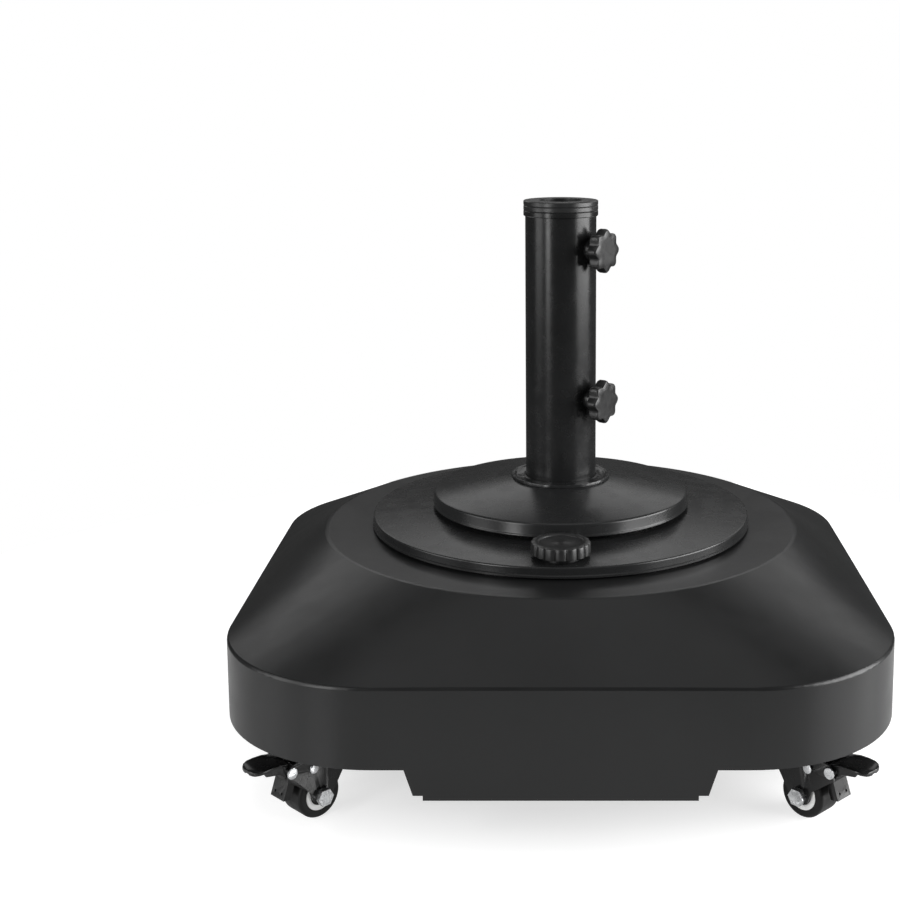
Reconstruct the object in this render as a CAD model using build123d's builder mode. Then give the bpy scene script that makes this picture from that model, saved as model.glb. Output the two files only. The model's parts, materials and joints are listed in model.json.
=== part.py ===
"""A water-filled parasol base on five wheels, in millimetres.

It stands on the floor: Z is up, the upright tube is on the Z axis, and the front is towards -Y.
"""

from build123d import *
import math
import os

os.makedirs("parts", exist_ok=True)

# ---- driving dimensions -------------------------------------------------------------------------

# Tank
HALF = 281.0  # half the width of the square tank
CORNER_R = 135.0  # its plan corner radius
WALL = 3.5
Z_WALL_FOOT = 73.0  # bottom edge of the side wall, and the ceiling of the wheel recesses
Z_CREASE = 139.0  # where the side wall meets the sloping shoulder
CREASE_ROUND, DECK_ROUND = 3.0, 6.0  # outer roundings of the tank
Z_DECK = 188.0  # round deck above the shoulder
DECK_R = 218.0
STEP_R, Z_STEP = 169.0, 197.5  # raised round step that carries the discs
Z_SKIRT = 52.0  # underside of the skirt below the side wall
Z_BAND = 49.0  # raised bands on that underside
BAND_W = 24.0
GRIP_X, GRIP_Y, GRIP_SLOT = 228.0, 58.0, 34.0  # hand grips in the two sides
GRIP_RISE = 3.0  # of the notch above the foot of the wall
GRIP_RIM = 26.0
BAR_HALF_Y = 47.0
CHANNEL_HALF_X, CHANNEL_HALF_Y, Z_CHANNEL = 198.0, 23.0, 58.0
WELL_R, BOSS_R = 46.0, 76.0
ARCH_OUT, ARCH_IN = 160.0, 124.0  # raised arch ahead of the centre caster
HOLLOW_OUT, HOLLOW_IN = 118.0, 82.0
RECESS_X, RECESS_Y, RECESS_R, RECESS_DRAFT = 121.0, 146.0, 70.0, 18.0  # front caster recesses
SWEEP_R = 88.0  # round the swivel axis, for the pedal as the caster turns
REAR_X, REAR_Y, REAR_HALF = 122.0, 184.0, 31.0  # rear wheel pockets
HANDLE_BACK, HANDLE_HALF, HANDLE_TAPER = 187.0, 106.5, 14.0  # carrying handle at the front
HANDLE_HOLE_FRONT, HANDLE_HOLE_BACK = 263.0, 226.0
HANDLE_HOLE_HALF, Z_HANDLE_HOLE = 56.0, 92.0

# Discs and tube
DISC_BIG_R, Z_BIG, BIG_RIM = 175.3, 199.0, 9.0
DISC_SMALL_R, Z_SMALL, SMALL_RIM = 119.0, 219.0, 12.0
DISC_T, RIM_LIP = 3.0, 0.8
Z_SEAT = 203.0  # flat top of the big disc, under the foot plate
PLATE_R, PLATE_FOOT_T = 104.0, 4.0
TUBE_R, TUBE_BORE_R = 32.5, 31.0
Z_TUBE_TOP = 479.5
TUBE_LIP = 5.0
COLLAR_R, Z_COLLAR, COLLAR_T = 46.0, 233.3, 3.0
FOOT_BOLT_R, FOOT_BOLT_COUNT = 78.0, 4

# Adapter sleeves
WIDE_BORE_R, WIDE_BODY_R, WIDE_RIB_R = 24.6, 27.3, 30.7
NARROW_BORE_R, NARROW_BODY_R, NARROW_RIB_R = 19.2, 21.4, 24.3
FLANGE_R, FLANGE_T = 34.1, 4.5
SLEEVE_LENGTH = 189.0
RIB_AT = (21.0, 53.0, 157.0, 187.0)  # below the top of each sleeve
RIB_T = 4.0
SLOT_W, SLOT_H = 24.0, 11.0
FLUTES = 16

# Clamp knobs
KNOB_Z = (445.0, 307.0)
KNOB_TURN = -35.0  # direction of the knobs about the tube, from +X
KNOB_R, KNOB_LOBES = 20.0, 8
KNOB_BACK, KNOB_FACE = 40.2, 51.5  # distances from the tube's axis
STUD_R = 4.0
STUD_TIP = 31.2
NUT_OUT, NUT_R = 37.0, 9.0

# Filler cap
CAP_Y = -147.5
CAP_R, CAP_H, CAP_SCALLOPS = 25.5, 10.5, 16
NECK_R, NECK_WALL = 15.0, 3.0
Z_CAP = 203.3

# Casters
WHEEL_R, WHEEL_HALF = 20.0, 12.9
TYRE_IN, TYRE_EDGE = 13.6, 3.0
RING_OUT, RING_IN, RING_T = 13.3, 8.8, 1.2
TRAIL = 22.0  # from the swivel axis to the wheel's axle
AXLE_R = 4.0
CHEEK_IN, CHEEK_T = 14.2, 2.2
Z_CROWN, CROWN_R = 58.0, 16.5
CASTER_AT = 190.4  # swivel axes of the front casters, in X and in Y
PLATE_T = 3.0
PLATE_HOLE_X, PLATE_HOLE_Y, PLATE_EDGE = 28.0, 18.0, 14.0
PIVOT_X, PIVOT_Z, PIVOT_R = 51.0, 49.5, 3.2
PEDAL_REACH, SHOE_HALF = 30.0, 9.0
STAY_X, STAY_Z, STAY_R = 30.0, 46.5, 2.5
CROWN_T, CUP_R, PIN_R = 2.5, 14.0, 4.0
BOLT_R, BOLT_HEAD_R, BOLT_HEAD_T = 3.0, 6.0, 3.4
REAR_WHEEL_Y = 232.0

FIT = 0.1  # running clearance on a radius
GAP = 0.3  # gap between faces that move past each other

corner = 1 / math.sqrt(2)


def save(part, name):
    """Label a finished piece and write it under its own name."""
    part.label = name
    export_step(part, f"parts/{name}.step")


def sideways(base, across=0.0):
    """A plane across the axle of base: its X runs along the trail, its Y is up."""
    return Plane(origin=base.from_local_coords((0, across, 0)), x_dir=base.x_dir, z_dir=-base.y_dir)


# The frames of the casters stand on the floor under each swivel axis, with X along the trail.
FRONT_LEFT = Plane(origin=(-CASTER_AT, -CASTER_AT, 0), x_dir=(-corner, -corner, 0))
FRONT_RIGHT = Plane(origin=(CASTER_AT, -CASTER_AT, 0), x_dir=(corner, -corner, 0))
CENTRE = Plane(origin=(0, 0, 0), x_dir=(0, 1, 0))
REAR_LEFT = Plane(origin=(-REAR_X - 3, REAR_WHEEL_Y - TRAIL, 0), x_dir=(0, 1, 0))
REAR_RIGHT = Plane(origin=(REAR_X + 3, REAR_WHEEL_Y - TRAIL, 0), x_dir=(0, 1, 0))

# ---- tank ---------------------------------------------------------------------------------------


def rounded_square(half, radius, mode=Mode.ADD):
    RectangleRounded(2 * half, 2 * half, radius, mode=mode)


def shell_of_tank(inset, z_low, mode):
    """The wall and shoulder of the tank, or the space inside them when inset is the wall."""
    z_turn = Z_CREASE - inset / 2
    with BuildSketch(Plane.XY.offset(z_low)) as foot:
        rounded_square(HALF - inset, CORNER_R - inset)
    extrude(foot.sketch, amount=z_turn - z_low, mode=mode)
    with BuildSketch(Plane.XY.offset(z_turn)) as square:
        rounded_square(HALF - inset, CORNER_R - inset)
    # the deck's circle has eight arcs, one for each side and each corner of the square below it
    side_turn = math.degrees(math.atan2(HALF - CORNER_R, HALF))
    with BuildSketch(Plane.XY.offset(Z_DECK - inset)) as circle:
        with BuildLine() as arcs:
            for quarter in (0, 90, 180, 270):
                CenterArc((0, 0), DECK_R - inset, quarter - side_turn, 2 * side_turn)
                CenterArc((0, 0), DECK_R - inset, quarter + side_turn, 90 - 2 * side_turn)
        make_face(arcs.edges())
    loft([square.sketch, circle.sketch], ruled=True, mode=mode)


bosses = PolarLocations(FOOT_BOLT_R, FOOT_BOLT_COUNT, 45)


def edges_at(part, height):
    """The edges of a part that lie flat at one height."""
    return part.edges().filter_by_position(Axis.Z, height - 0.01, height + 0.01)


with BuildPart() as tank_shell:
    shell_of_tank(0, Z_WALL_FOOT, Mode.ADD)
    fillet(edges_at(tank_shell, Z_DECK), DECK_ROUND)
    fillet(edges_at(tank_shell, Z_CREASE), CREASE_ROUND)
    # round step under the discs
    with BuildSketch(Plane.XY.offset(Z_DECK)):
        Circle(STEP_R)
    extrude(amount=Z_STEP - Z_DECK)
    # skirt below the wall, with a raised band round its rear half
    with BuildSketch(Plane.XY.offset(Z_SKIRT)):
        rounded_square(HALF, CORNER_R)
    extrude(amount=Z_WALL_FOOT - Z_SKIRT)
    with BuildSketch(Plane.XY.offset(Z_BAND)):
        rounded_square(HALF, CORNER_R)
        rounded_square(HALF - BAND_W, CORNER_R - BAND_W, mode=Mode.SUBTRACT)
        with Locations((0, -HALF)):
            Rectangle(2 * HALF, 2 * HALF + 2 * GRIP_Y, mode=Mode.SUBTRACT)
    extrude(amount=Z_SKIRT - Z_BAND)
    # raised bar, boss, arch and grip rims
    with BuildSketch(Plane.XY.offset(Z_BAND)):
        Rectangle(2 * GRIP_X + 2, 2 * BAR_HALF_Y)
        Circle(BOSS_R)
        for side in (-1, 1):
            with Locations((side * (GRIP_X + GRIP_RIM), 0)):
                RectangleRounded(4 * GRIP_RIM, 2 * (GRIP_Y + GRIP_RIM), GRIP_RIM - 1)
    extrude(amount=Z_SKIRT - Z_BAND)
    with BuildSketch(Plane.XY.offset(Z_BAND)):
        Circle(ARCH_OUT)
        Circle(ARCH_IN, mode=Mode.SUBTRACT)
        with Locations((0, ARCH_OUT)):
            Rectangle(2 * ARCH_OUT, 2 * ARCH_OUT, mode=Mode.SUBTRACT)
    extrude(amount=Z_SKIRT - Z_BAND)
    # frame of the carrying handle
    with BuildSketch(Plane.XY.offset(Z_BAND - 1)):
        with BuildLine():
            Polyline(
                (-HANDLE_HALF, -HALF),
                (-HANDLE_HALF + HANDLE_TAPER, -HANDLE_BACK),
                (HANDLE_HALF - HANDLE_TAPER, -HANDLE_BACK),
                (HANDLE_HALF, -HALF),
                close=True,
            )
        make_face()
        fillet(vertices().group_by(Axis.Y)[-1], 12)
    extrude(amount=Z_SKIRT - Z_BAND + 1)
    # everything outside the tank's own outline goes
    with BuildSketch(Plane.XY.offset(Z_BAND - 1)):
        Rectangle(4 * HALF, 4 * HALF)
        rounded_square(HALF, CORNER_R, mode=Mode.SUBTRACT)
    extrude(amount=Z_WALL_FOOT - Z_BAND + 1, mode=Mode.SUBTRACT)
    # front caster recesses, wider towards the floor
    recess_w = HALF + 60 - RECESS_X
    for side in (-1, 1):
        with BuildSketch(Plane.XY.offset(Z_WALL_FOOT)):
            with Locations((side * (RECESS_X + recess_w / 2), -RECESS_Y - recess_w / 2)):
                RectangleRounded(recess_w, recess_w, RECESS_R)
        extrude(amount=-(Z_WALL_FOOT - Z_BAND + 2), taper=-RECESS_DRAFT, mode=Mode.SUBTRACT)
        with BuildSketch(Plane.XY.offset(Z_WALL_FOOT)):
            with Locations((side * CASTER_AT, -CASTER_AT)):
                Circle(SWEEP_R)
        extrude(amount=-(Z_WALL_FOOT - Z_BAND + 2), mode=Mode.SUBTRACT)
        # rear wheel pockets, open to the rear
        with BuildSketch(Plane.XY.offset(Z_WALL_FOOT)):
            with Locations((side * REAR_X, REAR_Y + HALF / 2)):
                RectangleRounded(2 * REAR_HALF, HALF, 5)
        extrude(amount=-(Z_WALL_FOOT - Z_BAND + 2), taper=-3, mode=Mode.SUBTRACT)
        # hand grips: a notch under the wall and a finger slot behind it
        with BuildSketch(Plane.XY.offset(Z_WALL_FOOT + GRIP_RISE)):
            with Locations((side * (GRIP_X + HALF / 2), 0)):
                Rectangle(HALF, 2 * GRIP_Y)
        extrude(amount=-(Z_WALL_FOOT + GRIP_RISE - Z_BAND + 2), mode=Mode.SUBTRACT)
        with BuildSketch(Plane.XY.offset(Z_WALL_FOOT + GRIP_SLOT)):
            with Locations((side * (GRIP_X + 14), 0)):
                Rectangle(28, 2 * GRIP_Y - 4)
        extrude(amount=-GRIP_SLOT, mode=Mode.SUBTRACT)
    # centre caster well, long channel and curved hollow
    with BuildSketch(Plane.XY.offset(Z_WALL_FOOT)):
        Circle(WELL_R)
    extrude(amount=-(Z_WALL_FOOT - Z_BAND + 2), taper=-4, mode=Mode.SUBTRACT)
    with BuildSketch(Plane.XY.offset(Z_CHANNEL)):
        Rectangle(2 * CHANNEL_HALF_X, 2 * CHANNEL_HALF_Y)
    extrude(amount=-(Z_CHANNEL - Z_BAND + 2), mode=Mode.SUBTRACT)
    with BuildSketch(Plane.XY.offset(Z_CHANNEL)):
        Circle(HOLLOW_OUT)
        Circle(HOLLOW_IN, mode=Mode.SUBTRACT)
        with Locations((0, HOLLOW_OUT - BAR_HALF_Y - 4)):
            Rectangle(2 * HOLLOW_OUT, 2 * HOLLOW_OUT, mode=Mode.SUBTRACT)
    extrude(amount=-(Z_CHANNEL - Z_BAND + 2), mode=Mode.SUBTRACT)
    # finger hole of the carrying handle
    with BuildSketch(Plane.XY.offset(Z_HANDLE_HOLE)):
        with Locations((0, -(HANDLE_HOLE_FRONT + HANDLE_HOLE_BACK) / 2)):
            Rectangle(2 * HANDLE_HOLE_HALF, HANDLE_HOLE_FRONT - HANDLE_HOLE_BACK)
    extrude(amount=-(Z_HANDLE_HOLE - Z_BAND + 5), mode=Mode.SUBTRACT)
    # space for the water
    shell_of_tank(WALL, Z_WALL_FOOT + WALL, Mode.SUBTRACT)
    with BuildSketch(Plane.XY.offset(Z_DECK - WALL - 1)):
        Circle(STEP_R - WALL)
    extrude(amount=Z_STEP - Z_DECK + 1, mode=Mode.SUBTRACT)
    # floors of the skirt, above its plain stretches
    for side in (-1, 1):
        with BuildSketch(Plane.XY.offset(Z_CHANNEL + WALL)):
            with Locations((side * 46, 122)):
                Rectangle(76, 104)
            with Locations((side * 215, 130)):
                Rectangle(72, 80)
            with Locations((side * 172, -79)):
                Rectangle(60, 28)
        extrude(amount=Z_WALL_FOOT - Z_CHANNEL, mode=Mode.SUBTRACT)
        # walls of the finger slots, put back inside the water space
        with BuildSketch(Plane.XY.offset(Z_WALL_FOOT + GRIP_RISE)):
            with Locations((side * (GRIP_X + 14), 0)):
                Rectangle(28 + 2 * WALL, 2 * GRIP_Y + 4)
                Rectangle(28, 2 * GRIP_Y - 4, mode=Mode.SUBTRACT)
        extrude(amount=GRIP_SLOT - GRIP_RISE)
        with BuildSketch(Plane.XY.offset(Z_WALL_FOOT + GRIP_SLOT)):
            with Locations((side * (GRIP_X + 14), 0)):
                Rectangle(28 + 2 * WALL, 2 * GRIP_Y + 4)
        extrude(amount=WALL)
    with BuildSketch(Plane.XY.offset(Z_WALL_FOOT)):
        with Locations((0, -(HANDLE_HOLE_FRONT + HANDLE_HOLE_BACK) / 2)):
            Rectangle(2 * HANDLE_HOLE_HALF + 2 * WALL, HANDLE_HOLE_FRONT - HANDLE_HOLE_BACK + 2 * WALL)
            Rectangle(2 * HANDLE_HOLE_HALF, HANDLE_HOLE_FRONT - HANDLE_HOLE_BACK, mode=Mode.SUBTRACT)
    extrude(amount=Z_HANDLE_HOLE - Z_WALL_FOOT)
    with BuildSketch(Plane.XY.offset(Z_HANDLE_HOLE)):
        with Locations((0, -(HANDLE_HOLE_FRONT + HANDLE_HOLE_BACK) / 2)):
            Rectangle(2 * HANDLE_HOLE_HALF + 2 * WALL, HANDLE_HOLE_FRONT - HANDLE_HOLE_BACK + 2 * WALL)
    extrude(amount=WALL)
    # blind bosses for the foot bolts, and the filler hole
    with BuildSketch(Plane.XY.offset(Z_STEP)):
        with bosses:
            Circle(12)
    extrude(amount=-28)
    with BuildSketch(Plane.XY.offset(Z_STEP)):
        with bosses:
            Circle(AXLE_R + FIT)
        with Locations((0, CAP_Y)):
            Circle(NECK_R)
    extrude(amount=-22, mode=Mode.SUBTRACT)
save(tank_shell.part, "tank_shell")

# ---- discs, foot and tube -----------------------------------------------------------------------


def turned(*points):
    """Spin a closed outline, given as radius and height, about the tube's axis."""
    with BuildSketch(Plane.XZ) as outline:
        with BuildLine():
            Polyline(*points, close=True)
        make_face()
    revolve(outline.sketch, axis=Axis.Z)


with BuildPart() as cover_disc:
    turned(
        (0, Z_SEAT),
        (DISC_SMALL_R + 1, Z_SEAT),
        (DISC_BIG_R - RIM_LIP, Z_BIG),
        (DISC_BIG_R - RIM_LIP, Z_BIG - BIG_RIM + 2.4),
        (DISC_BIG_R, Z_BIG - BIG_RIM + 1.6),
        (DISC_BIG_R, Z_BIG - BIG_RIM),
        (DISC_BIG_R - DISC_T, Z_BIG - BIG_RIM),
        (DISC_BIG_R - DISC_T, Z_BIG - DISC_T),
        (STEP_R, Z_STEP + 0.05),
        (0, Z_STEP + 0.05),
    )
    rim_edges = edges().filter_by(GeomType.CIRCLE).filter_by(lambda e: abs(e.radius - DISC_BIG_R + RIM_LIP) < 0.01)
    fillet(rim_edges.sort_by(Axis.Z)[-1], 1.4)
    with BuildSketch(Plane.XY.offset(Z_BIG - BIG_RIM)):
        with bosses:
            Circle(AXLE_R + FIT)
        with Locations((0, CAP_Y)):
            Circle(NECK_R + NECK_WALL + 2.2)
    extrude(amount=Z_SEAT - Z_BIG + BIG_RIM + 2, mode=Mode.SUBTRACT)
save(cover_disc.part, "cover_disc")

z_plate = Z_SEAT + PLATE_FOOT_T
with BuildPart() as foot_plate:
    with BuildSketch(Plane.XY.offset(Z_SEAT)):
        Circle(PLATE_R)
        with bosses:
            Circle(AXLE_R + FIT, mode=Mode.SUBTRACT)
    extrude(amount=PLATE_FOOT_T)
save(foot_plate.part, "foot_plate")

with BuildPart() as foot_bolts:
    with BuildSketch(Plane.XY.offset(z_plate)):
        with bosses:
            RegularPolygon(6.5, 6, major_radius=False)
    extrude(amount=5.3)
    with BuildSketch(Plane.XY.offset(Z_STEP - 20)):
        with bosses:
            Circle(AXLE_R)
    extrude(amount=z_plate - Z_STEP + 20)
save(foot_bolts.part, "foot_bolts")

z_cone_top = Z_COLLAR - COLLAR_T
cone_in_r = TUBE_R + GAP
with BuildPart() as flange_disc:
    turned(
        (cone_in_r, z_cone_top),
        (COLLAR_R + 2, z_cone_top),
        (DISC_SMALL_R - RIM_LIP, Z_SMALL),
        (DISC_SMALL_R - RIM_LIP, Z_SMALL - SMALL_RIM + 2.4),
        (DISC_SMALL_R, Z_SMALL - SMALL_RIM + 1.6),
        (DISC_SMALL_R, Z_SMALL - SMALL_RIM),
        (DISC_SMALL_R - DISC_T, Z_SMALL - SMALL_RIM),
        (DISC_SMALL_R - DISC_T, Z_SMALL - DISC_T),
        (COLLAR_R + 2, z_cone_top - DISC_T),
        (cone_in_r, z_cone_top - DISC_T),
    )
    rim_edges = edges().filter_by(GeomType.CIRCLE).filter_by(lambda e: abs(e.radius - DISC_SMALL_R + RIM_LIP) < 0.01)
    fillet(rim_edges.sort_by(Axis.Z)[-1], 1.4)
save(flange_disc.part, "flange_disc")

with BuildPart() as tube_collar:
    turned(
        (cone_in_r, z_cone_top + 0.05),
        (COLLAR_R, z_cone_top + 0.05),
        (COLLAR_R, Z_COLLAR),
        (COLLAR_R - 3, Z_COLLAR),
        (COLLAR_R - 4.5, Z_COLLAR - 1.2),
        (cone_in_r, Z_COLLAR - 1.2),
    )
save(tube_collar.part, "tube_collar")

knob_planes = []
for height in KNOB_Z:
    outward = (math.cos(math.radians(KNOB_TURN)), math.sin(math.radians(KNOB_TURN)), 0)
    knob_planes.append(Plane(origin=(0, 0, height), x_dir=(0, 0, 1), z_dir=outward))

with BuildPart() as upright_tube:
    turned(
        (TUBE_BORE_R, z_plate),
        (TUBE_R, z_plate),
        (TUBE_R, Z_TUBE_TOP - TUBE_LIP),
        (FLANGE_R - 0.6, Z_TUBE_TOP - TUBE_LIP),
        (FLANGE_R, Z_TUBE_TOP - TUBE_LIP + 0.6),
        (FLANGE_R, Z_TUBE_TOP - 0.6),
        (FLANGE_R - 0.6, Z_TUBE_TOP),
        (TUBE_BORE_R, Z_TUBE_TOP),
    )
    for plane in knob_planes:
        with BuildSketch(plane):
            Circle(STUD_R + FIT)
        extrude(amount=TUBE_R + 5, mode=Mode.SUBTRACT)
save(upright_tube.part, "upright_tube")

with BuildPart() as weld_nuts:
    for plane in knob_planes:
        with BuildSketch(plane.offset(TUBE_R - 4)):
            Circle(NUT_R)
        extrude(amount=NUT_OUT - TUBE_R + 4)
    with BuildSketch(Plane.XY.offset(KNOB_Z[1] - 20)):
        Circle(TUBE_R + 0.02)
    extrude(amount=KNOB_Z[0] - KNOB_Z[1] + 40, mode=Mode.SUBTRACT)
    for plane in knob_planes:
        with BuildSketch(plane.offset(TUBE_R - 6)):
            Circle(STUD_R + FIT)
        extrude(amount=20, mode=Mode.SUBTRACT)
save(weld_nuts.part, "weld_nuts")

# ---- adapter sleeves ----------------------------------------------------------------------------


def sleeve(z_top, bore_r, body_r, rib_r):
    """A flanged plastic sleeve with ribs, flutes and two pairs of slots for the clamp screws."""
    with BuildPart() as made:
        with BuildSketch(Plane.XY.offset(z_top - SLEEVE_LENGTH)):
            Circle(body_r)
            with PolarLocations(body_r + 1.1, FLUTES):
                Circle(1.6, mode=Mode.SUBTRACT)
        extrude(amount=SLEEVE_LENGTH)
        with BuildSketch(Plane.XY.offset(z_top - FLANGE_T)):
            Circle(FLANGE_R)
        extrude(amount=FLANGE_T)
        chamfer(edges().filter_by(GeomType.CIRCLE).filter_by(lambda e: abs(e.radius - FLANGE_R) < 0.01), 0.6)
        for down in RIB_AT:
            with BuildSketch(Plane.XY.offset(z_top - down - RIB_T / 2)):
                Circle(rib_r)
            extrude(amount=RIB_T)
        with BuildSketch(Plane.XY.offset(z_top - SLEEVE_LENGTH - RIB_T)):
            Circle(bore_r)
        extrude(amount=SLEEVE_LENGTH + 2 * RIB_T, mode=Mode.SUBTRACT)
        for plane in knob_planes:
            with BuildSketch(plane):
                RectangleRounded(SLOT_H, SLOT_W, 2)
            extrude(amount=TUBE_R, both=True, mode=Mode.SUBTRACT)
    return made.part


wide_sleeve = sleeve(Z_TUBE_TOP + FLANGE_T, WIDE_BORE_R, WIDE_BODY_R, WIDE_RIB_R)
save(wide_sleeve, "wide_sleeve")
narrow_sleeve = sleeve(Z_TUBE_TOP + 2 * FLANGE_T, NARROW_BORE_R, NARROW_BODY_R, NARROW_RIB_R)
save(narrow_sleeve, "narrow_sleeve")

# ---- clamp knobs --------------------------------------------------------------------------------

for plane, name in zip(knob_planes, ("upper", "lower")):
    with BuildPart() as head:
        with BuildSketch(plane.offset(KNOB_BACK)):
            Circle(KNOB_R - 2.2)
            with PolarLocations(KNOB_R - 4.6, KNOB_LOBES):
                Circle(4.6)
        extrude(amount=KNOB_FACE - KNOB_BACK)
        fillet(faces().sort_by(Axis(plane.origin, plane.z_dir))[-1].edges(), 1.5)
        with BuildSketch(plane.offset(KNOB_BACK)):
            Circle(NUT_R + 1.5)
        extrude(amount=5, mode=Mode.SUBTRACT)
        with BuildSketch(plane.offset(KNOB_BACK)):
            Circle(STUD_R + FIT)
        extrude(amount=8, mode=Mode.SUBTRACT)
    save(head.part, f"knob_head_{name}")
    with BuildPart() as stud:
        with BuildSketch(plane.offset(STUD_TIP)):
            Circle(STUD_R)
        extrude(amount=KNOB_BACK + 7.8 - STUD_TIP)
        chamfer(faces().sort_by(Axis(plane.origin, plane.z_dir))[0].edges(), 0.8)
    save(stud.part, f"knob_stud_{name}")

# ---- filler neck and cap ------------------------------------------------------------------------

FILLER = Plane(origin=(0, CAP_Y, 0))
with BuildPart() as filler_neck:
    with BuildSketch(FILLER.offset(Z_STEP + 0.05)):
        Circle(NECK_R + NECK_WALL)
        Circle(NECK_R, mode=Mode.SUBTRACT)
    extrude(amount=Z_CAP + 4 - Z_STEP)
save(filler_neck.part, "filler_neck")

with BuildPart() as cap_gasket:
    with BuildSketch(FILLER.offset(Z_CAP + 4.4)):
        Circle(NECK_R + NECK_WALL)
        Circle(NECK_R - 4, mode=Mode.SUBTRACT)
    extrude(amount=1.5)
save(cap_gasket.part, "cap_gasket")

with BuildPart() as filler_cap:
    with BuildSketch(FILLER.offset(Z_CAP)):
        Circle(CAP_R)
        with PolarLocations(CAP_R + 1.2, CAP_SCALLOPS):
            Circle(2.8, mode=Mode.SUBTRACT)
    extrude(amount=CAP_H)
    fillet(faces().sort_by(Axis.Z)[-1].edges(), 0.8)
    with BuildSketch(FILLER.offset(Z_CAP)):
        Circle(NECK_R + NECK_WALL + GAP)
    extrude(amount=6.2, mode=Mode.SUBTRACT)
    with BuildSketch(FILLER.offset(Z_CAP + CAP_H)):
        Circle(CAP_R - 7)
    extrude(amount=-1.6, taper=20, mode=Mode.SUBTRACT)
save(filler_cap.part, "filler_cap")

# ---- casters ------------------------------------------------------------------------------------


def wheel(base, name):
    """A hub, a rubber tyre and a pale ring on each face, on the axle of base."""
    axle = sideways(base)
    with BuildPart() as hub:
        with BuildSketch(axle):
            with Locations((TRAIL, WHEEL_R)):
                Circle(TYRE_IN - 0.02)
                Circle(AXLE_R + FIT, mode=Mode.SUBTRACT)
        extrude(amount=WHEEL_HALF - 0.4, both=True)
        for face in (-1, 1):
            with BuildSketch(sideways(base, face * (WHEEL_HALF + 1))):
                with Locations((TRAIL, WHEEL_R)):
                    Circle(RING_OUT)
                    Circle(RING_IN, mode=Mode.SUBTRACT)
            extrude(amount=face * (RING_T + 1.4), mode=Mode.SUBTRACT)
    save(hub.part, f"wheel_hub_{name}")
    with BuildPart() as tyre:
        with BuildSketch(axle):
            with Locations((TRAIL, WHEEL_R)):
                Circle(WHEEL_R)
                Circle(TYRE_IN, mode=Mode.SUBTRACT)
        extrude(amount=WHEEL_HALF, both=True)
        tread = edges().filter_by(GeomType.CIRCLE).filter_by(lambda e: abs(e.radius - WHEEL_R) < 0.01)
        fillet(tread, TYRE_EDGE)
    save(tyre.part, f"tyre_{name}")
    with BuildPart() as ring:
        for face in (-1, 1):
            with BuildSketch(sideways(base, face * (WHEEL_HALF - 0.2))):
                with Locations((TRAIL, WHEEL_R)):
                    Circle(RING_OUT - 0.02)
                    Circle(RING_IN + 0.02, mode=Mode.SUBTRACT)
            extrude(amount=face * RING_T)
    save(ring.part, f"wheel_ring_{name}")


def axle_bolt(base, name, side):
    """Hexagon bolt through the cheeks, its head on the side given, and its nut on the other."""
    outer = CHEEK_IN + CHEEK_T
    with BuildPart() as bolt:
        with BuildSketch(sideways(base)):
            with Locations((TRAIL, WHEEL_R)):
                Circle(AXLE_R)
        extrude(amount=outer + 6.5, both=True)
        for face, depth in ((side, 5.3), (-side, 5.0)):
            with BuildSketch(sideways(base, face * (outer + 0.02))):
                with Locations((TRAIL, WHEEL_R)):
                    RegularPolygon(6.5, 6, major_radius=False)
            extrude(amount=-face * depth)
        with BuildSketch(sideways(base, side * (outer + 5.3))):
            with Locations((TRAIL, WHEEL_R)):
                Circle(AXLE_R + 1)
        extrude(amount=-side * 3, mode=Mode.SUBTRACT)
    save(bolt.part, f"axle_bolt_{name}")


def top_plate(base, name):
    """The square plate that a swivelling caster hangs from."""
    with BuildPart() as plate:
        with BuildSketch(base.offset(Z_WALL_FOOT - PLATE_T)):
            RectangleRounded(2 * PLATE_HOLE_X + PLATE_EDGE, 2 * PLATE_HOLE_Y + PLATE_EDGE, 6)
            with GridLocations(2 * PLATE_HOLE_X, 2 * PLATE_HOLE_Y, 2, 2):
                Circle(BOLT_R + FIT, mode=Mode.SUBTRACT)
        extrude(amount=PLATE_T - 0.05)
    save(plate.part, f"caster_plate_{name}")


def mounting_bolts(base, name):
    """Four round-headed bolts through the plate."""
    with BuildPart() as bolts:
        with BuildSketch(base.offset(Z_WALL_FOOT - PLATE_T - 0.02)):
            with GridLocations(2 * PLATE_HOLE_X, 2 * PLATE_HOLE_Y, 2, 2):
                Circle(BOLT_R)
        extrude(amount=PLATE_T)
        with BuildSketch(base.offset(Z_WALL_FOOT - PLATE_T - 0.02)):
            with GridLocations(2 * PLATE_HOLE_X, 2 * PLATE_HOLE_Y, 2, 2):
                Circle(BOLT_HEAD_R)
        extrude(amount=-BOLT_HEAD_T)
        fillet(edges().group_by(Axis.Z)[0], BOLT_HEAD_T - 0.6)
    save(bolts.part, f"caster_bolts_{name}")


def kingpin(base, name):
    """The pin that the fork turns on, with its bearing cup above and its rivet head below."""
    z_plate_foot = Z_WALL_FOOT - PLATE_T
    outline = (
        (0, z_plate_foot - 0.02),
        (CUP_R, z_plate_foot - 0.02),
        (CUP_R, Z_CROWN + GAP + 2),
        (CUP_R - 3, Z_CROWN + GAP),
        (PIN_R, Z_CROWN + GAP),
        (PIN_R, Z_CROWN - CROWN_T - GAP),
        (PIN_R + 7, Z_CROWN - CROWN_T - GAP),
        (PIN_R + 5, Z_CROWN - CROWN_T - 3),
        (0, Z_CROWN - CROWN_T - 4),
    )
    upright = sideways(base)
    with BuildPart() as pin:
        with BuildSketch(upright):
            with BuildLine():
                Polyline(*outline, close=True)
            make_face()
        revolve(axis=Axis(base.origin, (0, 0, 1)))
    save(pin.part, f"caster_kingpin_{name}")


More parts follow.
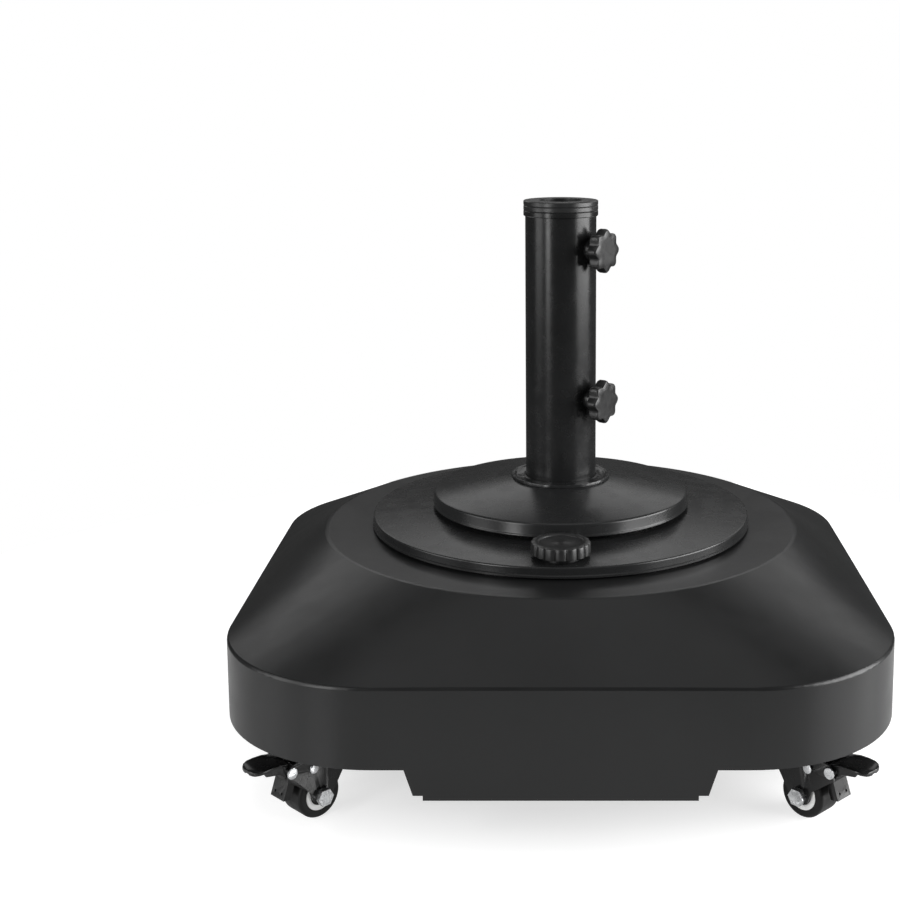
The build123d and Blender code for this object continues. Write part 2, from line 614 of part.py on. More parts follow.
def fork(base, name, braked):
    """A pressed fork: a round crown and two cheeks that reach out to the axle."""
    foot_x, foot_z = (PIVOT_X, PIVOT_Z) if braked else (TRAIL + 14, 40)
    with BuildPart() as made:
        with BuildSketch(base.offset(Z_CROWN - CROWN_T)):
            Circle(CROWN_R)
            with Locations((CROWN_R / 2, 0)):
                Rectangle(CROWN_R, 2 * CROWN_R)
        extrude(amount=CROWN_T)
        for face in (-1, 1):
            with BuildSketch(sideways(base, face * CHEEK_IN)):
                with BuildLine():
                    Polyline(
                        (-4, Z_CROWN),
                        (CROWN_R, Z_CROWN),
                        (foot_x + 2, foot_z + 6),
                        (foot_x + 4, foot_z - 6),
                        (TRAIL + 12, 27),
                        (TRAIL + 8, WHEEL_R - 4),
                        (TRAIL - 8, WHEEL_R - 4),
                        (-4, 44),
                        close=True,
                    )
                make_face()
                fillet(vertices().sort_by(Axis.Z)[:2], 6)
                with Locations((TRAIL, WHEEL_R)):
                    Circle(AXLE_R + 0.05, mode=Mode.SUBTRACT)
                if braked:
                    with Locations((PIVOT_X, PIVOT_Z)):
                        Circle(PIVOT_R + 0.05, mode=Mode.SUBTRACT)
                    with Locations((STAY_X, STAY_Z)):
                        Circle(STAY_R + 0.05, mode=Mode.SUBTRACT)
            extrude(amount=-face * CHEEK_T)
        with BuildSketch(base.offset(Z_CROWN - CROWN_T - 1)):
            Circle(PIN_R + FIT)
        extrude(amount=CROWN_T + 2, mode=Mode.SUBTRACT)
    save(made.part, f"fork_{name}")


def brake(base, name):
    """Foot pedal with its brake block, on a pivot pin between the cheeks; a second pin stiffens them."""
    axle = sideways(base)
    half = CHEEK_IN - GAP
    with BuildPart() as pins:
        for at, radius in (((PIVOT_X, PIVOT_Z), PIVOT_R), ((STAY_X, STAY_Z), STAY_R)):
            with BuildSketch(axle):
                with Locations(at):
                    Circle(radius)
            extrude(amount=CHEEK_IN + CHEEK_T + 0.02, both=True)
            for face in (-1, 1):
                with BuildSketch(sideways(base, face * (CHEEK_IN + CHEEK_T + 0.02))):
                    with Locations(at):
                        Circle(radius + 1.6)
                extrude(amount=-face * 1.4)
    save(pins.part, f"brake_pins_{name}")
    with BuildPart() as pedal:
        with BuildSketch(axle):
            with BuildLine():
                Polyline(
                    (PIVOT_X - 5, PIVOT_Z - 1),
                    (PIVOT_X - 3, PIVOT_Z + 4.5),
                    (PIVOT_X + 4, PIVOT_Z + 8.5),
                    (PIVOT_X + 12, PIVOT_Z + 9.8),
                    (PIVOT_X + 24, PIVOT_Z + 9.4),
                    (PIVOT_X + PEDAL_REACH + 1, PIVOT_Z + 7.6),
                    (PIVOT_X + PEDAL_REACH + 1, PIVOT_Z + 4.4),
                    (PIVOT_X + 24, PIVOT_Z + 6.4),
                    (PIVOT_X + 12, PIVOT_Z + 6.8),
                    (PIVOT_X + 6, PIVOT_Z + 5),
                    (PIVOT_X + 4.5, PIVOT_Z),
                    (PIVOT_X + 3, PIVOT_Z - 4.5),
                    (PIVOT_X - 3.5, PIVOT_Z - 5.5),
                    close=True,
                )
            make_face()
            fillet(vertices(), 0.6)
        extrude(amount=half, both=True)
        with BuildSketch(base.offset(PIVOT_Z - 8)):
            with Locations((PIVOT_X + PEDAL_REACH / 2 - 6, 0)):
                RectangleRounded(PEDAL_REACH + 20, 2 * half, 9)
        extrude(amount=20, mode=Mode.INTERSECT)
        with BuildSketch(axle):
            with Locations((PIVOT_X, PIVOT_Z)):
                Circle(PIVOT_R + FIT)
        extrude(amount=half + 1, both=True, mode=Mode.SUBTRACT)
    save(pedal.part, f"brake_pedal_{name}")
    with BuildPart() as shoe:
        with BuildSketch(axle):
            with BuildLine():
                Polyline(
                    (PIVOT_X - 8.5, PIVOT_Z - 11),
                    (PIVOT_X - 3.6, PIVOT_Z - 5.6),
                    (PIVOT_X + 2.9, PIVOT_Z - 4.6),
                    (PIVOT_X - 1.2, PIVOT_Z - 11),
                    (PIVOT_X + 4, PIVOT_Z - 25.5),
                    (PIVOT_X - 3, PIVOT_Z - 26.5),
                    close=True,
                )
            make_face()
        extrude(amount=SHOE_HALF, both=True)
        for across in (-SHOE_HALF / 2, SHOE_HALF / 2):
            hole = Plane(base.from_local_coords((PIVOT_X + 8, across, PIVOT_Z - 21)), z_dir=-base.x_dir)
            with BuildSketch(hole):
                Circle(1.1)
            extrude(amount=8.5, mode=Mode.SUBTRACT)
    save(shoe.part, f"brake_shoe_{name}")


def rear_bracket(base, name):
    """Fixed bracket of a rear wheel: a plate, two cheeks and their four bolts."""
    with BuildPart() as bracket:
        with BuildSketch(base.offset(Z_WALL_FOOT - PLATE_T)):
            with Locations((TRAIL, 0)):
                RectangleRounded(2 * PLATE_HOLE_X + PLATE_EDGE, 2 * PLATE_HOLE_Y + PLATE_EDGE, 6)
                with GridLocations(2 * PLATE_HOLE_X, 2 * PLATE_HOLE_Y, 2, 2):
                    Circle(BOLT_R + FIT, mode=Mode.SUBTRACT)
        extrude(amount=PLATE_T - 0.05)
        for face in (-1, 1):
            with BuildSketch(sideways(base, face * CHEEK_IN)):
                with BuildLine():
                    Polyline(
                        (TRAIL - 16, Z_WALL_FOOT - PLATE_T),
                        (TRAIL - 8, WHEEL_R - 8),
                        (TRAIL + 8, WHEEL_R - 8),
                        (TRAIL + 16, Z_WALL_FOOT - PLATE_T),
                        close=True,
                    )
                make_face()
                fillet(vertices().sort_by(Axis.Z)[:2], 6)
                with Locations((TRAIL, WHEEL_R)):
                    Circle(AXLE_R + 0.05, mode=Mode.SUBTRACT)
            extrude(amount=-face * CHEEK_T)
    save(bracket.part, f"bracket_{name}")


REAR_SHIFT = Vector(0, TRAIL, 0)
for base, name, head_side in (
    (FRONT_LEFT, "front_left", 1),
    (FRONT_RIGHT, "front_right", -1),
    (CENTRE, "centre", 1),
    (REAR_LEFT, "rear_left", 1),
    (REAR_RIGHT, "rear_right", -1),
):
    wheel(base, name)
    axle_bolt(base, name, head_side)
    if name.startswith("rear"):
        rear_bracket(base, name)
        mounting_bolts(Plane(base.origin + REAR_SHIFT, x_dir=base.x_dir), name)
    else:
        top_plate(base, name)
        mounting_bolts(base, name)
        kingpin(base, name)
        fork(base, name, braked=name != "centre")
    if name.startswith("front"):
        brake(base, name)
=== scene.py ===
"""The looks of a water-filled parasol base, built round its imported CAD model. All sizes are metres."""

import json
import math

import bmesh
import bpy
from mathutils import Matrix, Vector


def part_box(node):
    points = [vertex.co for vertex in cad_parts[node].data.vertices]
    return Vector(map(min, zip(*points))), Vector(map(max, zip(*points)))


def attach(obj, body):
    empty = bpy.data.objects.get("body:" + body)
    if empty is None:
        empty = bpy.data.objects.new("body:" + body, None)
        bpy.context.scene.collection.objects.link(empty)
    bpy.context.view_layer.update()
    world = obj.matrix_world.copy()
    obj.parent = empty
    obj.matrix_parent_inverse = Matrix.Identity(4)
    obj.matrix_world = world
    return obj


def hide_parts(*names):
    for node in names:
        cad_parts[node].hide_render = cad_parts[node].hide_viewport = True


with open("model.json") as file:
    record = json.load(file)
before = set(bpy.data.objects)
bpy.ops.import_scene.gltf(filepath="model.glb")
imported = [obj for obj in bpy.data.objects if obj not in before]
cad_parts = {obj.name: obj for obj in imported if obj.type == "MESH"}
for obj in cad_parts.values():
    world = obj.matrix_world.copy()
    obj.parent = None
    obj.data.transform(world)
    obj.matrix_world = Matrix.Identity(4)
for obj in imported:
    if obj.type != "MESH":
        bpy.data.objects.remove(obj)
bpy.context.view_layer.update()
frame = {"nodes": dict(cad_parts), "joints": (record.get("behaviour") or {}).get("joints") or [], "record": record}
nodes = frame["nodes"]

# ---- camera -------------------------------------------------------------------------------------

CAMERA_BACK, CAMERA_HEIGHT = 1.3623, 0.6005
CAMERA_DOWN = math.radians(9.18)
SENSOR_WIDTH, LENS = 36, 59.93
SHIFT_X, SHIFT_Y = -0.1231, -0.1474

camera_data = bpy.data.cameras.new("camera")
camera_data.sensor_width = SENSOR_WIDTH
camera_data.lens = LENS
camera_data.shift_x = SHIFT_X
camera_data.shift_y = SHIFT_Y
camera = bpy.data.objects.new("camera", camera_data)
camera.location = (0, -CAMERA_BACK, CAMERA_HEIGHT)
camera.rotation_euler = (math.pi / 2 - CAMERA_DOWN, 0, 0)
bpy.context.scene.collection.objects.link(camera)
bpy.context.scene.camera = camera

# ---- studio -------------------------------------------------------------------------------------

TARGET = Vector((0, 0, 0.15))


def softbox(name, place, width, height, watts):
    """A rectangular light that faces the object."""
    data = bpy.data.lights.new(name, "AREA")
    data.shape = "RECTANGLE"
    data.size, data.size_y = width, height
    data.energy = watts
    lamp = bpy.data.objects.new(name, data)
    lamp.location = place
    lamp.rotation_euler = (TARGET - Vector(place)).to_track_quat("-Z", "Y").to_euler()
    bpy.context.scene.collection.objects.link(lamp)


def round_about(azimuth, distance, height):
    """A place at an azimuth from the front, positive to the right."""
    turn = math.radians(azimuth)
    return (distance * math.sin(turn), -distance * math.cos(turn), height)


LIGHT_REACH, LIGHT_LEVEL, LIGHT_TALL = 2.6, 0.95, 1.9
BACK_LEVEL, TOP_LEVEL = 2.1, 3.2

softbox("front_left", round_about(-74, LIGHT_REACH, LIGHT_LEVEL), 1.3, LIGHT_TALL, 23)
softbox("front_strip", round_about(-41, LIGHT_REACH, LIGHT_LEVEL), 0.6, LIGHT_TALL, 30)
softbox("side_right", round_about(78, LIGHT_REACH, LIGHT_LEVEL), 2.6, LIGHT_TALL, 130)
softbox("back", round_about(180, LIGHT_REACH, BACK_LEVEL), 5.0, 1.5, 24)
softbox("top", (0, 0, TOP_LEVEL), 2.4, 2.4, 11)


WORLD_FILL, WORLD_SEEN = 0.06, 1.0


def make_world():
    """White behind the object for the camera, and a dimmer even light from all round for the rest."""
    world = bpy.data.worlds.new("studio")
    world.use_nodes = True
    tree = world.node_tree
    tree.nodes.clear()
    out = tree.nodes.new("ShaderNodeOutputWorld")
    mix = tree.nodes.new("ShaderNodeMixShader")
    path = tree.nodes.new("ShaderNodeLightPath")
    fill = tree.nodes.new("ShaderNodeBackground")
    seen = tree.nodes.new("ShaderNodeBackground")
    fill.inputs["Color"].default_value = (1, 1, 1, 1)
    fill.inputs["Strength"].default_value = WORLD_FILL
    seen.inputs["Color"].default_value = (1, 1, 1, 1)
    seen.inputs["Strength"].default_value = WORLD_SEEN
    tree.links.new(path.outputs["Is Camera Ray"], mix.inputs["Fac"])
    tree.links.new(fill.outputs[0], mix.inputs[1])
    tree.links.new(seen.outputs[0], mix.inputs[2])
    tree.links.new(mix.outputs[0], out.inputs["Surface"])
    bpy.context.scene.world = world


make_world()
bpy.context.scene.view_settings.view_transform = "Standard"

# ---- materials ----------------------------------------------------------------------------------


class Finish:
    """A procedural material, grown node by node round one Principled shader."""

    def __init__(self, name, metallic=0.0, coat=0.0, coat_roughness=0.1, specular=0.5):
        self.material = bpy.data.materials.new(name)
        self.material.use_nodes = True
        self.tree = self.material.node_tree
        self.shader = self.tree.nodes["Principled BSDF"]
        self.shader.inputs["Metallic"].default_value = metallic
        self.shader.inputs["Coat Weight"].default_value = coat
        self.shader.inputs["Coat Roughness"].default_value = coat_roughness
        self.shader.inputs["Specular IOR Level"].default_value = specular
        self.place = self.tree.nodes.new("ShaderNodeTexCoord").outputs["Object"]
        self.normal = None

    def noise(self, scale, detail=3.0, roughness=0.5):
        """Noise over the object's own space."""
        noise = self.tree.nodes.new("ShaderNodeTexNoise")
        noise.inputs["Scale"].default_value = scale
        noise.inputs["Detail"].default_value = detail
        noise.inputs["Roughness"].default_value = roughness
        self.tree.links.new(self.place, noise.inputs["Vector"])
        return noise.outputs["Fac"]

    def range(self, value, low, high, start=0.3, end=0.7):
        """A value spread between low and high."""
        node = self.tree.nodes.new("ShaderNodeMapRange")
        node.inputs["From Min"].default_value = start
        node.inputs["From Max"].default_value = end
        node.inputs["To Min"].default_value = low
        node.inputs["To Max"].default_value = high
        self.tree.links.new(value, node.inputs["Value"])
        return node.outputs["Result"]

    def colour(self, value, dark, light, start=0.3, end=0.7):
        """Base colour that drifts from dark to light with a value."""
        ramp = self.tree.nodes.new("ShaderNodeValToRGB")
        ramp.color_ramp.elements[0].position = start
        ramp.color_ramp.elements[1].position = end
        ramp.color_ramp.elements[0].color = (*dark, 1)
        ramp.color_ramp.elements[1].color = (*light, 1)
        self.tree.links.new(value, ramp.inputs["Fac"])
        self.tree.links.new(ramp.outputs["Color"], self.shader.inputs["Base Color"])
        return self

    def rough(self, value, low, high):
        """Roughness that drifts from low to high with a value."""
        self.tree.links.new(self.range(value, low, high), self.shader.inputs["Roughness"])
        return self

    def bump(self, value, height, strength=1.0):
        """A relief of that height in metres, laid over the reliefs before it."""
        node = self.tree.nodes.new("ShaderNodeBump")
        node.inputs["Distance"].default_value = height
        node.inputs["Strength"].default_value = strength
        self.tree.links.new(value, node.inputs["Height"])
        if self.normal:
            self.tree.links.new(self.normal, node.inputs["Normal"])
        self.normal = node.outputs["Normal"]
        self.tree.links.new(self.normal, self.shader.inputs["Normal"])
        return self


def grey(level, tint=0.0):
    """A near-neutral colour, a little blue when tint is above nought."""
    return (level * (1 - tint), level, level * (1 + tint))


def tank_plastic():
    """Blow-moulded polyethylene: satin, with a fine sand-blasted grain and slow waves in its sheen."""
    made = Finish("tank_plastic", specular=0.36)
    made.colour(made.noise(9, 4), grey(0.0095, 0.02), grey(0.0125, 0.02))
    made.rough(made.noise(35, 5), 0.28, 0.35)
    made.bump(made.noise(14, 2), 0.0006, 0.25)
    made.bump(made.noise(1500, 2, 0.6), 0.00005, 0.35)
    return made.material


def disc_plastic():
    """Injection-moulded covers: smoother and glossier than the tank."""
    made = Finish("disc_plastic", specular=0.4)
    made.colour(made.noise(14, 3), grey(0.0135, 0.02), grey(0.018, 0.02))
    made.rough(made.noise(60, 4), 0.23, 0.3)
    made.bump(made.noise(1900, 2, 0.5), 0.00002, 0.12)
    return made.material


def powder_coat():
    """Powder coat on the steel tube, with its orange peel."""
    made = Finish("powder_coat", specular=0.36, coat=0.08, coat_roughness=0.2)
    made.colour(made.noise(20, 3), grey(0.009, 0.02), grey(0.0125, 0.02))
    made.rough(made.noise(90, 3), 0.22, 0.29)
    made.bump(made.noise(650, 1, 0.4), 0.00003, 0.1)
    return made.material


def moulded_plastic(name, level, low, high, specular=0.5):
    """Small moulded pieces: fine spark-eroded texture."""
    made = Finish(name, specular=specular)
    made.colour(made.noise(40, 3), grey(level * 0.88, 0.01), grey(level * 1.12, 0.01))
    made.rough(made.noise(150, 4), low, high)
    made.bump(made.noise(2200, 2, 0.6), 0.00005, 0.5)
    return made.material


def enamel():
    """Glossy black enamel on pressed steel."""
    made = Finish("caster_enamel", specular=0.35, coat=0.12, coat_roughness=0.12)
    made.colour(made.noise(60, 3), grey(0.0055, 0.02), grey(0.008, 0.02))
    made.rough(made.noise(120, 4), 0.2, 0.3)
    made.bump(made.noise(500, 2, 0.5), 0.00005, 0.3)
    return made.material


def zinc():
    """Bright zinc plate, with the faint cloudiness of its passivation."""
    made = Finish("zinc_plate", metallic=1.0)
    made.colour(made.noise(240, 4, 0.6), (0.56, 0.57, 0.58), (0.83, 0.84, 0.85))
    made.rough(made.noise(500, 4, 0.6), 0.2, 0.4)
    made.bump(made.noise(1400, 3, 0.6), 0.00004, 0.4)
    return made.material


def rubber(name="tyre_rubber", level=0.006):
    """Polyurethane tread: matt, slightly mottled."""
    made = Finish(name, specular=0.25)
    made.colour(made.noise(90, 4), grey(level * 0.85), grey(level * 1.25))
    made.rough(made.noise(200, 4), 0.4, 0.55)
    made.bump(made.noise(1100, 3, 0.6), 0.00008, 0.5)
    return made.material


def white_plastic():
    """The pale rings of the wheels."""
    made = Finish("ring_white", specular=0.5)
    made.colour(made.noise(200, 3), (0.94, 0.94, 0.93), (0.98, 0.98, 0.97))
    made.rough(made.noise(300, 3), 0.3, 0.42)
    made.bump(made.noise(1500, 2, 0.5), 0.00003, 0.4)
    return made.material


FINISHES = {
    "tank": tank_plastic(),
    "disc": disc_plastic(),
    "steel_black": powder_coat(),
    "sleeve": moulded_plastic("sleeve_plastic", 0.018, 0.28, 0.36),
    "knob": moulded_plastic("knob_plastic", 0.013, 0.32, 0.42),
    "zinc": zinc(),
    "bolt_black": enamel(),
    "caster_black": enamel(),
    "hub": moulded_plastic("hub_plastic", 0.007, 0.26, 0.34, 0.3),
    "tyre": rubber(),
    "ring": white_plastic(),
    "gasket": rubber("gasket_rubber", 0.04),
}

SLOTS = {subpart["node"]: subpart["material_slot"] for subpart in frame["record"]["subparts"]}
BODIES = {node: body for body, held in frame["record"]["behaviour"]["bodies"].items() for node in held}

for node, slot in SLOTS.items():
    nodes[node].data.materials.clear()
    nodes[node].data.materials.append(FINISHES[slot])

# ---- mesh work ----------------------------------------------------------------------------------


def piece(name, made, body, slot, finish=None):
    """Turn a bmesh into a named piece that moves with a body and takes a slot's finish."""
    mesh = bpy.data.meshes.new(name)
    made.to_mesh(mesh)
    made.free()
    mesh.materials.append(finish or FINISHES[slot])
    obj = bpy.data.objects.new(name, mesh)
    bpy.context.scene.collection.objects.link(obj)
    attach(obj, body)
    return obj


SHARP = math.radians(32)  # edges of a refined piece that get rounded
SPUN_SHARP = math.radians(35)  # edges of a turned piece that stay sharp
FLAT = math.radians(0.6)  # faces that lie in one plane
WELD = 2e-6


def soften(obj, width):
    """Round a piece's sharp edges and smooth the rest of it."""
    bevel = obj.modifiers.new("edges", "BEVEL")
    bevel.width = width
    bevel.segments = 2
    bevel.limit_method = "ANGLE"
    bevel.angle_limit = SHARP
    bevel.use_clamp_overlap = True
    bevel.harden_normals = True
    graph = bpy.context.evaluated_depsgraph_get()
    flat = bpy.data.meshes.new_from_object(obj.evaluated_get(graph))
    obj.modifiers.clear()
    obj.data = flat
    flat.shade_smooth()
    flat.set_sharp_from_angle(angle=SHARP)


def refined(node, width):
    """A node's own shape as clean faces, with its edges rounded as the real piece's are."""
    made = bmesh.new()
    made.from_mesh(nodes[node].data)
    bmesh.ops.remove_doubles(made, verts=made.verts, dist=WELD)
    bmesh.ops.dissolve_limit(
        made, angle_limit=FLAT, verts=made.verts, edges=made.edges, delimit={"NORMAL"}
    )
    made.normal_update()
    obj = piece(node + "_shown", made, BODIES[node], SLOTS[node])
    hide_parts(node)
    soften(obj, width)


ROUNDING = {
    "caster_plate_": 0.0004,
    "caster_kingpin_": 0.0003,
    "fork_": 0.0004,
    "bracket_": 0.0004,
    "axle_bolt_": 0.0004,
    "brake_pins_": 0.0005,
    "brake_shoe_": 0.0005,
    "wheel_hub_": 0.0005,
    "wheel_ring_": 0.0003,
    "knob_stud_": 0.0002,
    "foot_bolts": 0.0004,
    "foot_plate": 0.0005,
    "tube_collar": 0.0004,
    "weld_nuts": 0.0005,
    "filler_neck": 0.0004,
}
for node in sorted(nodes):
    for start, width in ROUNDING.items():
        if node.startswith(start):
            refined(node, width)

# ---- turned and lobed pieces --------------------------------------------------------------------

MM = 0.001


def spun(path, steps, shape=lambda turn: 0.0):
    """Spin a path of (height, radius, depth of lobes) in millimetres about Z; shape gives the lobes."""
    made = bmesh.new()
    rings = []
    for height, radius, lobes in path:
        if radius == 0:
            rings.append([made.verts.new((0, 0, height * MM))] * steps)
            continue
        ring = []
        for step in range(steps):
            turn = 2 * math.pi * step / steps
            reach = (radius - lobes * shape(turn)) * MM
            ring.append(made.verts.new((reach * math.cos(turn), reach * math.sin(turn), height * MM)))
        rings.append(ring)
    for lower, upper in zip(rings, rings[1:]):
        for step in range(steps):
            corners = [lower[step], lower[(step + 1) % steps], upper[(step + 1) % steps], upper[step]]
            made.faces.new(list(dict.fromkeys(corners)))
    bmesh.ops.recalc_face_normals(made, faces=made.faces)
    return made


def smooth(obj):
    """Smooth a turned piece, but for its sharp edges."""
    obj.data.shade_smooth()
    obj.data.set_sharp_from_angle(angle=SPUN_SHARP)


def replacing(node, made):
    """Put a bmesh in the place of a CAD node."""
    obj = piece(node + "_shown", made, BODIES[node], SLOTS[node])
    smooth(obj)
    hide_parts(node)


JOINTS = {joint["name"]: joint for joint in frame["joints"]}
KNOB_LOBES, CAP_SCALLOPS = 8, 16
KNOB_STEPS, CAP_STEPS = 160, 320


def clamp_knob(name):
    """A mushroom-backed hand knob with eight soft lobes, facing away from the tube."""
    joint = JOINTS["knob_turn_" + name]
    outward = -Vector(joint["axis"])
    centre = Vector((0, 0, joint["pos_m"][2]))
    turn = outward.to_track_quat("Z", "Y").to_matrix().to_4x4()
    path = (
        (45.0, 0, 0),
        (45.0, 10.4, 0),
        (40.5, 10.4, 0),
        (40.2, 10.8, 0),
        (40.2, 13.0, 0.4),
        (40.6, 16.6, 0.9),
        (41.8, 19.0, 1.5),
        (43.6, 19.9, 1.9),
        (48.6, 20.0, 1.9),
        (50.2, 19.6, 1.8),
        (51.1, 18.7, 1.5),
        (51.5, 17.2, 1.1),
        (51.5, 11.0, 0),
        (51.5, 0, 0),
    )
    made = spun(path, KNOB_STEPS, lambda angle: 1 - math.cos(KNOB_LOBES * angle))
    made.transform(Matrix.Translation(centre) @ turn)
    replacing("knob_head_" + name, made)


for name in ("upper", "lower"):
    clamp_knob(name)


def screw_cap():
    """The filler cap: scalloped rim, dished top, hollow underneath for the neck."""
    cap_low, cap_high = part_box("filler_cap")
    path = (
        (6.2, 0, 0),
        (6.2, 18.3, 0),
        (0.0, 18.3, 0),
        (0.0, 24.6, 1.2),
        (0.7, 25.4, 1.5),
        (8.6, 25.4, 1.5),
        (9.8, 24.9, 1.3),
        (10.4, 23.6, 0.8),
        (10.5, 22.0, 0.2),
        (10.5, 19.6, 0),
        (10.1, 18.9, 0),
        (9.1, 18.3, 0),
        (8.9, 17.6, 0),
        (8.9, 4.6, 0),
        (9.3, 3.8, 0),
        (9.4, 0, 0),
    )
    made = spun(path, CAP_STEPS, lambda angle: 1 - abs(math.cos(CAP_SCALLOPS / 2 * angle)) ** 0.7)
    middle = (cap_low + cap_high) / 2
    made.transform(Matrix.Translation((middle.x, middle.y, cap_low.z)))
    replacing("filler_cap", made)


screw_cap()


DISC_STEPS, DISC_SKIN = 288, 3.0
FLANGE_INNER, FLANGE_TOP, FLANGE_RIM = 33.0, 232.4, 12.0


def rimmed_disc(node, inner, z_inner, rim):
    """A shallow cone with a turned-down rim that ends in a fine lip; sizes in millimetres."""
    low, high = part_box(node)
    radius, z_low = high.x / MM, low.z / MM
    z_edge = z_low + rim
    slope = (z_inner - z_edge) / (radius - inner)
    path = [
        (z_inner - DISC_SKIN, inner, 0),
        (z_inner, inner, 0),
        (z_edge + 2.2 * slope + 0.05, radius - 3.0, 0),
        (z_edge - 0.25, radius - 1.7, 0),
        (z_edge - 0.9, radius - 1.05, 0),
        (z_edge - 1.8, radius - 0.8, 0),
        (z_low + 2.4, radius - 0.8, 0),
        (z_low + 1.9, radius - 0.65, 0),
        (z_low + 1.5, radius - 0.15, 0),
        (z_low + 1.1, radius, 0),
        (z_low + 0.3, radius, 0),
        (z_low, radius - 0.3, 0),
        (z_low, radius - DISC_SKIN, 0),
        (z_edge - DISC_SKIN, radius - DISC_SKIN - 0.6, 0),
    ]
    path.append(path[0])
    return spun(path, DISC_STEPS)


replacing("flange_disc", rimmed_disc("flange_disc", FLANGE_INNER, FLANGE_TOP, FLANGE_RIM))

# ---- castors ------------------------------------------------------------------------------------


def castor_frame(name):
    """Floor point under a swivel axis, with X along the trail, as a matrix."""
    foot = Vector(JOINTS["caster_swivel_" + name]["pos_m"])
    trail = (Vector(JOINTS["wheel_spin_" + name]["pos_m"]) - foot) * Vector((1, 1, 0))
    trail.normalize()
    across = Vector((0, 0, 1)).cross(trail)
    turned = Matrix((trail, across, Vector((0, 0, 1)))).transposed().to_4x4()
    return Matrix.Translation((foot.x, foot.y, 0)) @ turned


def prism(made, outline, start, end):
    """A flat plate with an outline of (x, z), from one place across the castor to another."""
    sides = [[made.verts.new((x * MM, y * MM, z * MM)) for x, z in outline] for y in (start, end)]
    made.faces.new(sides[0])
    made.faces.new(reversed(sides[1]))
    count = len(outline)
    for at in range(count):
        to = (at + 1) % count
        made.faces.new((sides[0][to], sides[0][at], sides[1][at], sides[1][to]))


def rounded(centre, radius, start, end, steps):
    """Points of an arc about a centre, angles in degrees."""
    turns = [math.radians(start + (end - start) * step / steps) for step in range(steps + 1)]
    return [(centre[0] + radius * math.cos(turn), centre[1] + radius * math.sin(turn)) for turn in turns]


PIVOT = (51.0, 49.5)
TONGUE = (
    # along the trail, height of the top, half width
    (46.0, 53.6, 12.6),
    (48.5, 55.6, 13.6),
    (53.0, 57.6, 13.9),
    (60.0, 59.0, 13.9),
    (68.0, 59.2, 13.9),
    (74.0, 58.9, 13.6),
    (78.0, 58.3, 12.0),
    (80.5, 57.6, 9.2),
    (81.6, 57.2, 6.0),
    (82.0, 57.0, 2.8),
)
TONGUE_THICK, TONGUE_CROWN, TONGUE_STEPS = 2.6, 0.9, 12
EAR_RADIUS, EAR_INNER, EAR_OUTER = 5.6, 11.4, 13.6
PEDAL_ROUND = 0.0005


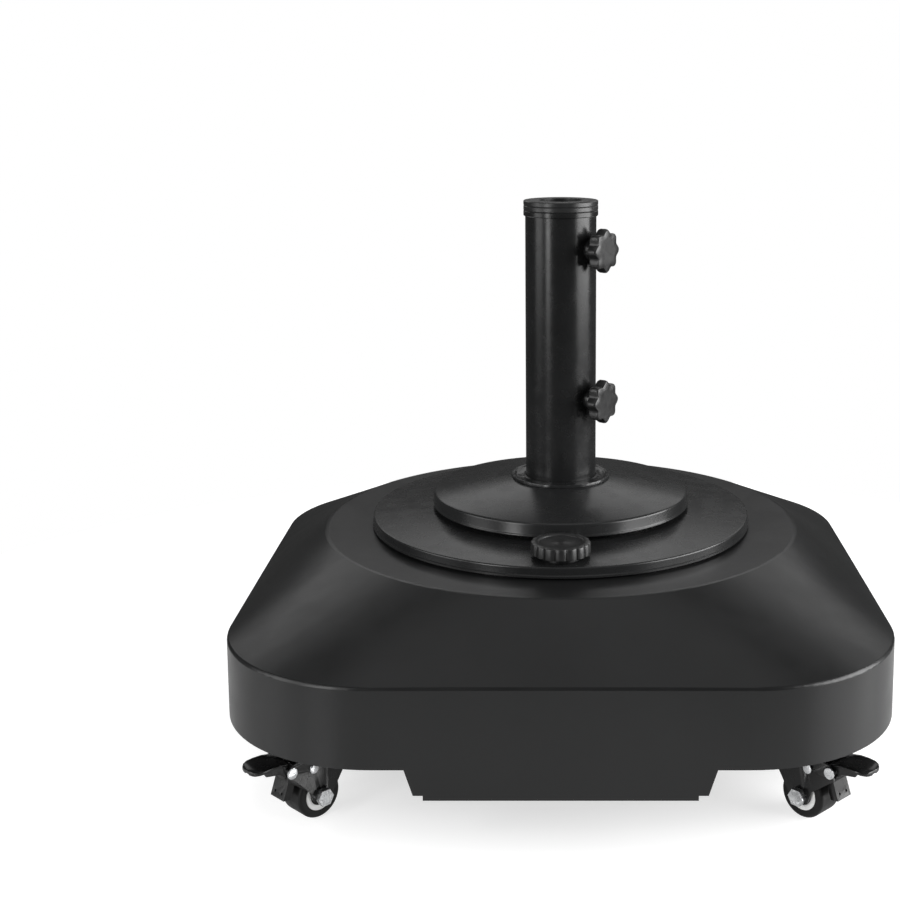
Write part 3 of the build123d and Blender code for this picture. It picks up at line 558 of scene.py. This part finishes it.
def foot_pedal(name):
    """A broad tongue to step on, with two ears that hang it on its pivot pin."""
    made = bmesh.new()
    steps = TONGUE_STEPS
    rows = []
    for x, top, half in TONGUE:
        row = []
        for step in range(steps + 1):
            side = 2 * step / steps - 1
            row.append((x, side * half, top - TONGUE_CROWN * side * side))
        rows.append(row)
    top = [[made.verts.new((x * MM, y * MM, z * MM)) for x, y, z in row] for row in rows]
    foot = [[made.verts.new((x * MM, y * MM, (z - TONGUE_THICK) * MM)) for x, y, z in row] for row in rows]
    last = len(rows) - 1
    for at in range(last):
        for step in range(steps):
            made.faces.new((top[at][step], top[at + 1][step], top[at + 1][step + 1], top[at][step + 1]))
            made.faces.new((foot[at][step], foot[at][step + 1], foot[at + 1][step + 1], foot[at + 1][step]))
        made.faces.new((top[at][0], foot[at][0], foot[at + 1][0], top[at + 1][0]))
        made.faces.new((top[at][steps], top[at + 1][steps], foot[at + 1][steps], foot[at][steps]))
    for step in range(steps):
        made.faces.new((top[0][step], top[0][step + 1], foot[0][step + 1], foot[0][step]))
        made.faces.new((top[last][step], foot[last][step], foot[last][step + 1], top[last][step + 1]))
    web = [(60.5, 50.2), (73.0, 52.6), (75.5, 56.6), (60.0, 57.4), (50.0, 55.4)]
    ear = rounded(PIVOT, EAR_RADIUS, 150, 300, 10) + web
    for side in (-1, 1):
        prism(made, ear if side > 0 else ear[::-1], side * EAR_INNER, side * EAR_OUTER)
    bmesh.ops.recalc_face_normals(made, faces=made.faces)
    made.transform(castor_frame(name))
    node = "brake_pedal_" + name
    obj = piece(node + "_shown", made, BODIES[node], SLOTS[node])
    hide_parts(node)
    soften(obj, PEDAL_ROUND)


for name in ("front_left", "front_right"):
    foot_pedal(name)

# ---- floor --------------------------------------------------------------------------------------


FLOOR_RADIUS, FLOOR_DROP = 0.85, 0.0002
# painted shadow: the floor glows less under the object than clear of it, in place of a cast shadow
PAINTED_SHADOW_GLOW, OPEN_GLOW = 0.62, 1.0  # under the object, and clear of it
PAINTED_SHADOW_RADIUS, OPEN_RADIUS = 0.2, 0.44
FLOOR_GLOW_REFLECTED = 0.4  # of the floor's own glow that other rays than the camera's meet


def make_floor():
    """A round pale floor that glows, with a painted shadow: its glow is dimmer under the object."""
    made = bmesh.new()
    bmesh.ops.create_circle(made, cap_ends=True, segments=96, radius=FLOOR_RADIUS)
    mesh = bpy.data.meshes.new("floor")
    made.to_mesh(mesh)
    made.free()
    floor = bpy.data.objects.new("floor", mesh)
    floor.location = (0, 0, -FLOOR_DROP)
    bpy.context.scene.collection.objects.link(floor)
    look = Finish("floor", specular=0.2)
    look.colour(look.noise(2, 2), (0.5, 0.5, 0.5), (0.52, 0.52, 0.52))
    look.rough(look.noise(8, 2), 0.2, 0.26)
    look.shader.inputs["Emission Color"].default_value = (1, 1, 1, 1)
    reach = look.tree.nodes.new("ShaderNodeVectorMath")
    reach.operation = "LENGTH"
    look.tree.links.new(look.place, reach.inputs[0])
    # painted shadow: the glow falls from full clear of the object to its lowest under it
    glow = look.range(reach.outputs["Value"], PAINTED_SHADOW_GLOW, OPEN_GLOW, PAINTED_SHADOW_RADIUS, OPEN_RADIUS)
    path = look.tree.nodes.new("ShaderNodeLightPath")
    seen = look.range(path.outputs["Is Camera Ray"], FLOOR_GLOW_REFLECTED, 1.0, 0.0, 1.0)
    share = look.tree.nodes.new("ShaderNodeMath")
    share.operation = "MULTIPLY"
    look.tree.links.new(glow, share.inputs[0])
    look.tree.links.new(seen, share.inputs[1])
    look.tree.links.new(share.outputs[0], look.shader.inputs["Emission Strength"])
    mesh.materials.append(look.material)


make_floor()
